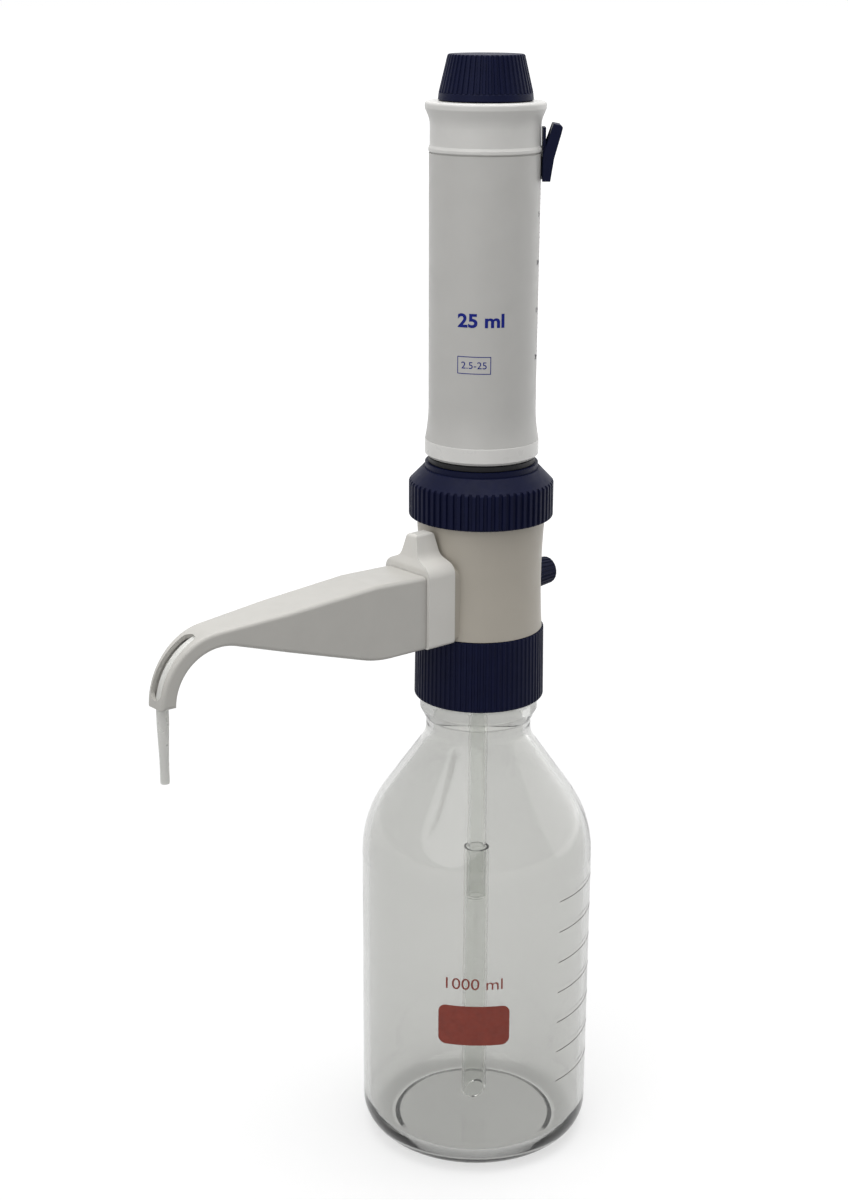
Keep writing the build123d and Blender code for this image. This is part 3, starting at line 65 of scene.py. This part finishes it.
def add_camera():
    data = bpy.data.cameras.new("camera")
    data.sensor_width = SENSOR_WIDTH
    data.lens = SENSOR_WIDTH * FOCAL_PX / PHOTO_HEIGHT_PX
    data.clip_start = CLIP_NEAR
    data.clip_end = CLIP_FAR
    camera = bpy.data.objects.new("camera", data)
    turn = Matrix.Rotation(CAMERA_TURN, 4, "Z")
    pitch = Matrix.Rotation(math.radians(90.0) - CAMERA_PITCH, 4, "X")
    roll = Matrix.Rotation(CAMERA_ROLL, 4, "Z")
    camera.matrix_world = Matrix.Translation(CAMERA_PLACE) @ turn @ pitch @ roll
    bpy.context.collection.objects.link(camera)
    bpy.context.scene.camera = camera


def add_lamp(name, place, target, size, power):
    data = bpy.data.lights.new(name, "AREA")
    data.shape = "DISK"
    data.size = size
    data.energy = power
    lamp = bpy.data.objects.new(name, data)
    lamp.location = place
    lamp.rotation_euler = (Vector(target) - Vector(place)).to_track_quat("-Z", "Y").to_euler()
    bpy.context.collection.objects.link(lamp)


def seen_ray(nodes, links):
    """1 for rays that look at the background, straight or by reflection or through glass."""
    path = nodes.new("ShaderNodeLightPath")
    seen = path.outputs["Is Camera Ray"]
    for output in ("Is Glossy Ray", "Is Transmission Ray"):
        either = nodes.new("ShaderNodeMath")
        either.operation = "MAXIMUM"
        links.new(seen, either.inputs[0])
        links.new(path.outputs[output], either.inputs[1])
        seen = either.outputs[0]
    return seen


def add_world():
    world = bpy.data.worlds.new("studio")
    world.use_nodes = True
    nodes = world.node_tree.nodes
    links = world.node_tree.links
    background = nodes["Background"]
    background.inputs["Color"].default_value = WHITE
    strength = nodes.new("ShaderNodeMapRange")
    strength.inputs["To Min"].default_value = AMBIENT
    strength.inputs["To Max"].default_value = 1.0
    links.new(seen_ray(nodes, links), strength.inputs["Value"])
    links.new(strength.outputs["Result"], background.inputs["Strength"])
    bpy.context.scene.world = world


def add_floor():
    """A pale floor. What is seen of it is lifted to white, and the object's shadow stays on it."""
    data = bpy.data.meshes.new("floor")
    half = FLOOR_SIZE / 2
    corners = [(-half, -half, 0.0), (half, -half, 0.0), (half, half, 0.0), (-half, half, 0.0)]
    data.from_pydata(corners, [], [(0, 1, 2, 3)])
    floor = bpy.data.objects.new("floor", data)
    bpy.context.collection.objects.link(floor)
    material = bpy.data.materials.new("floor")
    material.use_nodes = True
    nodes = material.node_tree.nodes
    links = material.node_tree.links
    shader = nodes["Principled BSDF"]
    shader.inputs["Base Color"].default_value = FLOOR_COLOUR
    shader.inputs["Roughness"].default_value = 0.9
    shader.inputs["Specular IOR Level"].default_value = 0.0
    shader.inputs["Emission Color"].default_value = WHITE
    distance = nodes.new("ShaderNodeVectorMath")
    distance.operation = "LENGTH"
    links.new(nodes.new("ShaderNodeTexCoord").outputs["Object"], distance.inputs[0])
    spread = nodes.new("ShaderNodeMapRange")
    spread.inputs["From Min"].default_value = LIFT_NEAR
    spread.inputs["From Max"].default_value = LIFT_FAR
    spread.inputs["To Min"].default_value = FLOOR_LIFT
    spread.inputs["To Max"].default_value = 1.0
    links.new(distance.outputs["Value"], spread.inputs["Value"])
    lift = nodes.new("ShaderNodeMath")
    lift.operation = "MULTIPLY"
    links.new(seen_ray(nodes, links), lift.inputs[0])
    links.new(spread.outputs["Result"], lift.inputs[1])
    links.new(lift.outputs[0], shader.inputs["Emission Strength"])
    data.materials.append(material)


def add_studio():
    bpy.context.scene.view_settings.view_transform = "Standard"
    add_camera()
    add_world()
    add_floor()
    for name, settings in LAMPS.items():
        add_lamp(name, **settings)


# Materials. The values of a noise texture lie mostly between low and high.
NOISE_LOW = 0.3
NOISE_HIGH = 0.7
GLOSS_DRIFT = 0.15
GLOSS_PATCH = 2.3
BUMP_STRENGTH = 0.5


def linear(red, green, blue):
    """A colour written as on screen, 0 to 255, in the linear values that shaders take."""
    values = []
    for value in (red, green, blue):
        share = value / 255.0
        values.append(share / 12.92 if share <= 0.04045 else ((share + 0.055) / 1.055) ** 2.4)
    return (*values, 1.0)


def shaded(colour, factor):
    return (*[value * factor for value in colour[:3]], 1.0)


def finish_material(name, colour, roughness, specular=0.5, variation=0.02, patch=90.0,
                    grain=2600.0, grain_depth=0.012, wave=0.0, wave_scale=25.0, settings=None):
    """A moulded or blown surface: a slight drift of shade, uneven gloss, fine grain and broad waves."""
    material = bpy.data.materials.new(name)
    material.use_nodes = True
    nodes = material.node_tree.nodes
    links = material.node_tree.links
    shader = nodes["Principled BSDF"]
    shader.inputs["Specular IOR Level"].default_value = specular
    for socket, value in (settings or {}).items():
        shader.inputs[socket].default_value = value
    place = nodes.new("ShaderNodeTexCoord").outputs["Object"]

    def noise(scale, detail):
        node = nodes.new("ShaderNodeTexNoise")
        node.inputs["Scale"].default_value = scale
        node.inputs["Detail"].default_value = detail
        links.new(place, node.inputs["Vector"])
        return node.outputs["Fac"]

    drift = noise(patch, detail=4.0)
    ramp = nodes.new("ShaderNodeValToRGB")
    ramp.color_ramp.elements[0].position = NOISE_LOW
    ramp.color_ramp.elements[0].color = shaded(colour, 1.0 - variation)
    ramp.color_ramp.elements[1].position = NOISE_HIGH
    ramp.color_ramp.elements[1].color = shaded(colour, 1.0 + variation)
    links.new(drift, ramp.inputs["Fac"])
    links.new(ramp.outputs["Color"], shader.inputs["Base Color"])

    gloss = nodes.new("ShaderNodeMapRange")
    gloss.inputs["From Min"].default_value = NOISE_LOW
    gloss.inputs["From Max"].default_value = NOISE_HIGH
    gloss.inputs["To Min"].default_value = roughness * (1.0 - GLOSS_DRIFT)
    gloss.inputs["To Max"].default_value = roughness * (1.0 + GLOSS_DRIFT)
    links.new(noise(patch * GLOSS_PATCH, detail=3.0), gloss.inputs["Value"])
    links.new(gloss.outputs["Result"], shader.inputs["Roughness"])

    fine = nodes.new("ShaderNodeBump")
    fine.inputs["Strength"].default_value = BUMP_STRENGTH
    fine.inputs["Distance"].default_value = grain_depth * MM
    links.new(noise(grain, detail=2.0), fine.inputs["Height"])
    normal = fine.outputs["Normal"]
    if wave:
        broad = nodes.new("ShaderNodeBump")
        broad.inputs["Strength"].default_value = BUMP_STRENGTH
        broad.inputs["Distance"].default_value = wave * MM
        links.new(noise(wave_scale, detail=1.0), broad.inputs["Height"])
        links.new(normal, broad.inputs["Normal"])
        normal = broad.outputs["Normal"]
    links.new(normal, shader.inputs["Normal"])
    return material


def add_depth(material, colour, density):
    """Lets thick glass take more light than thin glass."""
    tree = material.node_tree
    absorption = tree.nodes.new("ShaderNodeVolumeAbsorption")
    absorption.inputs["Color"].default_value = colour
    absorption.inputs["Density"].default_value = density
    tree.links.new(absorption.outputs["Volume"], tree.nodes["Material Output"].inputs["Volume"])


CLEAR = {"Transmission Weight": 1.0}

GLASS = finish_material("clear_glass", linear(232, 232, 230), 0.02, variation=0.01, patch=14.0,
                        grain=400.0, grain_depth=0.002, wave=0.25, wave_scale=28.0,
                        settings={**CLEAR, "IOR": 1.47})
add_depth(GLASS, linear(140, 142, 139), 60.0)
NAVY = finish_material("navy_plastic", linear(14, 18, 44), 0.45, specular=0.08, variation=0.1,
                       patch=160.0, grain_depth=0.02)
SLEEVE = finish_material("sleeve_plastic", linear(190, 189, 186), 0.38, specular=0.35, wave=0.03)
# Painted light: the head is a lighter copy of the sleeve plastic, standing in for the stronger light that
# falls on it from above and the left.
HEAD_PAINTED_LIGHT = finish_material("head_plastic_painted_light", linear(211, 210, 207), 0.36, specular=0.35, wave=0.02)
# Painted light: the foot is a lighter copy of the sleeve plastic, standing in for the stronger light that
# falls on it.
FOOT_PAINTED_LIGHT = finish_material("foot_plastic_painted_light", linear(220, 219, 216), 0.3, specular=0.4, wave=0.02)
INNER = finish_material("inner_plastic", linear(200, 199, 194), 0.4)
CREAM = finish_material("cream_plastic", linear(177, 171, 160), 0.42, specular=0.35, patch=70.0,
                        grain_depth=0.02)
SPOUT = finish_material("spout_plastic", linear(187, 185, 180), 0.34, specular=0.35, wave=0.03)
# Painted light: the flange is a lighter copy of the spout plastic, standing in for the stronger light that
# falls on it from the front left.
FLANGE_PAINTED_LIGHT = finish_material("flange_plastic_painted_light", linear(211, 209, 204), 0.34, specular=0.35, wave=0.02)
DARK_GREY = finish_material("dark_grey_plastic", linear(24, 24, 27), 0.5, specular=0.2, variation=0.1)
TUBE = finish_material("clear_tube", linear(245, 246, 244), 0.06, variation=0.01, patch=60.0,
                       grain=300.0, grain_depth=0.002, settings={**CLEAR, "IOR": 1.34})
# Painted light: the discharge tube is made lighter than the milky tube to offset the shade that falls on
# it in the slot.
NOZZLE_TUBE_PAINTED_LIGHT = finish_material("nozzle_tube_painted_light", linear(232, 232, 228), 0.3, patch=120.0, grain=800.0,
                              grain_depth=0.004, settings={"Transmission Weight": 0.25, "IOR": 1.35})
MILKY = finish_material("milky_tube", linear(226, 226, 220), 0.3, patch=200.0,
                        settings={"Transmission Weight": 0.25, "IOR": 1.35})
RUBBER = finish_material("seal_rubber", linear(34, 34, 36), 0.7, variation=0.15)
CERAMIC = finish_material("ceramic", linear(236, 232, 222), 0.15, variation=0.03, grain_depth=0.002)
STEEL = finish_material("steel", linear(188, 188, 190), 0.28, variation=0.05, patch=400.0,
                        settings={"Metallic": 1.0})
BLUE_INK = finish_material("blue_ink", linear(22, 34, 122), 0.5, specular=0.15, variation=0.1, patch=400.0)
DARK_INK = finish_material("dark_ink", linear(58, 60, 70), 0.55, specular=0.2, variation=0.1, patch=400.0)
BROWN_INK = finish_material("brown_ink", linear(122, 45, 30), 0.55, variation=0.1, patch=250.0)
GREY_INK = finish_material("grey_ink", linear(84, 80, 78), 0.55, variation=0.1, patch=250.0)

NODE_FINISH = {
    GLASS: ("bottle", "glass_cylinder"),
    NAVY: ("thread_collar", "vent_cap", "retaining_ring", "top_knob", "slider_carriage", "slider_lever"),
    SLEEVE: ("sleeve", "volume_rack"),
    HEAD_PAINTED_LIGHT: ("sleeve_head",),
    FOOT_PAINTED_LIGHT: ("sleeve_foot",),
    INNER: ("collar_retainer", "cylinder_guard", "piston_rod"),
    CREAM: ("valve_block",),
    SPOUT: ("spout_shroud",),
    FLANGE_PAINTED_LIGHT: ("outlet_flange",),
    DARK_GREY: ("guide_bush", "knob_nut"),
    TUBE: ("filling_tube_upper", "filling_tube_lower"),
    NOZZLE_TUBE_PAINTED_LIGHT: ("discharge_tube",),
    MILKY: ("mouth_seal", "suction_valve_body", "outlet_valve_body", "cylinder_seal", "piston",
            "piston_rings"),
    RUBBER: ("outlet_seals", "vent_seal"),
    CERAMIC: ("suction_ball", "outlet_ball"),
    STEEL: ("outlet_spring", "lever_pin", "lever_spring"),
}


def dress_nodes():
    for material, names in NODE_FINISH.items():
        for name in names:
            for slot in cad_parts[name].material_slots:
                slot.material = material


# Print on round surfaces. A flat piece is one unit thick, and wrapping it gives it its real thickness.
PRINT_PROUD = 0.05 * MM
PRINT_SINK = 0.05 * MM
HALF_THICK = 0.5
WRAP_STEP = 0.6 * MM
CUT_TOLERANCE = 1e-7
CORNER_STEPS = 8
LETTER_STEPS = 6


def wrap_piece(name, source, radius, bearing, height, material, body):
    """Bends a flat closed mesh, x along the arc and y up, round the main axis."""
    work = bmesh.new()
    work.from_mesh(source)
    across = [vert.co.x for vert in work.verts]
    end = max(across)
    cut = math.ceil(min(across) / WRAP_STEP) * WRAP_STEP
    while cut < end:
        geometry = work.verts[:] + work.edges[:] + work.faces[:]
        bmesh.ops.bisect_plane(work, geom=geometry, dist=CUT_TOLERANCE,
                               plane_co=(cut, 0, 0), plane_no=(1, 0, 0))
        cut += WRAP_STEP
    for vert in work.verts:
        reach = radius(height + vert.co.y) if callable(radius) else radius
        reach += PRINT_PROUD if vert.co.z > 0 else -PRINT_SINK
        angle = bearing + vert.co.x / reach
        vert.co = (reach * math.cos(angle), reach * math.sin(angle), height + vert.co.y)
    data = bpy.data.meshes.new(name)
    work.to_mesh(data)
    work.free()
    data.materials.append(material)
    piece = bpy.data.objects.new(name, data)
    bpy.context.collection.objects.link(piece)
    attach(piece, body)


def flat_text(text, width, height, weight=0.0):
    """A line of plain figures, centred on the origin and as wide and high as asked."""
    curve = bpy.data.curves.new("line", "FONT")
    curve.body = text
    curve.size = 1.0
    curve.extrude = HALF_THICK
    curve.offset = weight
    curve.resolution_u = LETTER_STEPS
    holder = bpy.data.objects.new("line", curve)
    bpy.context.collection.objects.link(holder)
    bpy.context.view_layer.update()
    data = bpy.data.meshes.new_from_object(holder)
    bpy.data.objects.remove(holder)
    bpy.data.curves.remove(curve)
    spans = [[vert.co[axis] for vert in data.vertices] for axis in (0, 1)]
    low = [min(span) for span in spans]
    high = [max(span) for span in spans]
    scale = (width / (high[0] - low[0]), height / (high[1] - low[1]))
    for vert in data.vertices:
        for axis in (0, 1):
            vert.co[axis] = (vert.co[axis] - (low[axis] + high[axis]) / 2) * scale[axis]
    return data


def finished_mesh(work):
    """The mesh that a piece of print is made from."""
    data = bpy.data.meshes.new("print")
    work.to_mesh(data)
    work.free()
    return data


def flat_box(width, height):
    work = bmesh.new()
    bmesh.ops.create_cube(work, size=1.0, matrix=Matrix.Diagonal((width, height, 1.0, 1.0)))
    return finished_mesh(work)


def flat_panel(width, height, corner):
    """A plate with rounded corners."""
    work = bmesh.new()
    rim = []
    reach_x = width / 2 - corner
    reach_y = height / 2 - corner
    for quarter, (side_x, side_y) in enumerate(((1, 1), (-1, 1), (-1, -1), (1, -1))):
        for step in range(CORNER_STEPS + 1):
            angle = math.radians(90.0) * (quarter + step / CORNER_STEPS)
            rim.append((side_x * reach_x + corner * math.cos(angle),
                        side_y * reach_y + corner * math.sin(angle), -HALF_THICK))
    face = work.faces.new([work.verts.new(point) for point in rim])
    lifted = bmesh.ops.extrude_face_region(work, geom=[face])
    for item in lifted["geom"]:
        if isinstance(item, bmesh.types.BMVert):
            item.co.z = HALF_THICK
    bmesh.ops.recalc_face_normals(work, faces=work.faces[:])
    return finished_mesh(work)


def flat_frame(width, height, line):
    """A thin frame of four bars round the origin."""
    work = bmesh.new()
    for side in (-1, 1):
        upright = Matrix.Translation((side * (width - line) / 2, 0, 0))
        level = Matrix.Translation((0, side * (height - line) / 2, 0))
        upright @= Matrix.Diagonal((line, height, 1.0, 1.0))
        level @= Matrix.Diagonal((width - 2 * line, line, 1.0, 1.0))
        for place in (upright, level):
            bmesh.ops.create_cube(work, size=1.0, matrix=place)
    return finished_mesh(work)


# Print on the bottle
BOTTLE_R = 50.5 * MM
LABEL_BEARING = math.radians(-133.0)
BOTTLE_TEXT_SIZE = (24.4 * MM, 5.2 * MM)
BOTTLE_TEXT_Z = 92.8 * MM
LABEL_FIELD_SIZE = (30.9 * MM, 18.6 * MM)
LABEL_FIELD_CORNER = 3.4 * MM
LABEL_FIELD_Z = 73.0 * MM
BOTTLE_LINES = 7
BOTTLE_LINE_SIZE = (34.0 * MM, 0.35 * MM)
BOTTLE_LINES_BEARING = math.radians(-68.0)
BOTTLE_LINES_Z = 38.4 * MM
BOTTLE_LINE_STEP = 14.4 * MM


def print_bottle():
    label = dict(radius=BOTTLE_R, bearing=LABEL_BEARING, material=BROWN_INK, body="bottle")
    wrap_piece("bottle_volume", flat_text("1000 ml", *BOTTLE_TEXT_SIZE), height=BOTTLE_TEXT_Z, **label)
    wrap_piece("bottle_label_field", flat_panel(*LABEL_FIELD_SIZE, LABEL_FIELD_CORNER),
               height=LABEL_FIELD_Z, **label)
    scale = dict(radius=BOTTLE_R, bearing=BOTTLE_LINES_BEARING, material=GREY_INK, body="bottle")
    for line in range(BOTTLE_LINES):
        wrap_piece(f"bottle_scale_line_{line + 1}", flat_box(*BOTTLE_LINE_SIZE),
                   height=BOTTLE_LINES_Z + BOTTLE_LINE_STEP * line, **scale)


# Print on the sleeve, which is slightly wider at its top
SLEEVE_LOW_R = 22.15 * MM
SLEEVE_TOP_R = 22.45 * MM
SLEEVE_LOW_Z = 333.9 * MM
SLEEVE_TOP_Z = 434.9 * MM
VOLUME_BEARING = math.radians(-135.0)
VOLUME_SIZE = (19.2 * MM, 5.7 * MM)
VOLUME_WEIGHT = 0.03
VOLUME_Z = 370.7 * MM
RANGE_BEARING = math.radians(-141.8)
RANGE_FRAME_SIZE = (13.9 * MM, 7.1 * MM)
RANGE_FRAME_LINE = 0.3 * MM
RANGE_SIZE = (10.4 * MM, 2.8 * MM)
RANGE_Z = 352.8 * MM

# The volume scale beside the slot. Its first mark is half a step from its zero, at the least volume.
SLOT_BEARING = math.radians(-41.0)
SCALE_STEP = 19.1 * MM
SCALE_STEP_ML = 5
SCALE_STEPS = 4
TICKS_PER_STEP = 10
SCALE_ZERO_Z = 430.1 * MM
TICK_START = 3.3 * MM
TICK_LENGTH = 0.9 * MM
STEP_LENGTH = 1.5 * MM
TICK_WIDTH = 0.25 * MM
NUMBER_ACROSS = 6.4 * MM
NUMBER_HEIGHT = 2.0 * MM
DIGIT_WIDTH = 1.2 * MM


def sleeve_radius(height):
    share = (height - SLEEVE_LOW_Z) / (SLEEVE_TOP_Z - SLEEVE_LOW_Z)
    return SLEEVE_LOW_R + (SLEEVE_TOP_R - SLEEVE_LOW_R) * share


def beside_slot(across, height):
    """The bearing of a place that far to the camera's side of the slot's middle."""
    return SLOT_BEARING - across / sleeve_radius(height)


def print_sleeve():
    common = dict(radius=sleeve_radius, material=BLUE_INK, body="plunger")
    wrap_piece("sleeve_volume", flat_text("25 ml", *VOLUME_SIZE, VOLUME_WEIGHT),
               bearing=VOLUME_BEARING, height=VOLUME_Z, **common)
    wrap_piece("sleeve_range_frame", flat_frame(*RANGE_FRAME_SIZE, RANGE_FRAME_LINE),
               bearing=RANGE_BEARING, height=RANGE_Z, **common)
    wrap_piece("sleeve_range", flat_text("2.5-25", *RANGE_SIZE),
               bearing=RANGE_BEARING, height=RANGE_Z, **common)


def print_scale():
    common = dict(radius=sleeve_radius, material=DARK_INK, body="plunger")
    for tick in range(TICKS_PER_STEP // 2, TICKS_PER_STEP * SCALE_STEPS + 1):
        whole = tick % TICKS_PER_STEP == 0
        length = STEP_LENGTH if whole else TICK_LENGTH
        height = SCALE_ZERO_Z - SCALE_STEP / TICKS_PER_STEP * tick
        wrap_piece(f"sleeve_tick_{tick}", flat_box(length, TICK_WIDTH),
                   bearing=beside_slot(TICK_START + length / 2, height), height=height, **common)
        if whole:
            number = str(tick // TICKS_PER_STEP * SCALE_STEP_ML)
            figures = flat_text(number, DIGIT_WIDTH * len(number), NUMBER_HEIGHT)
            wrap_piece(f"sleeve_number_{number}", figures,
                       bearing=beside_slot(NUMBER_ACROSS, height), height=height, **common)


add_studio()
dress_nodes()
print_bottle()
print_sleeve()
print_scale()
bpy.context.view_layer.update()
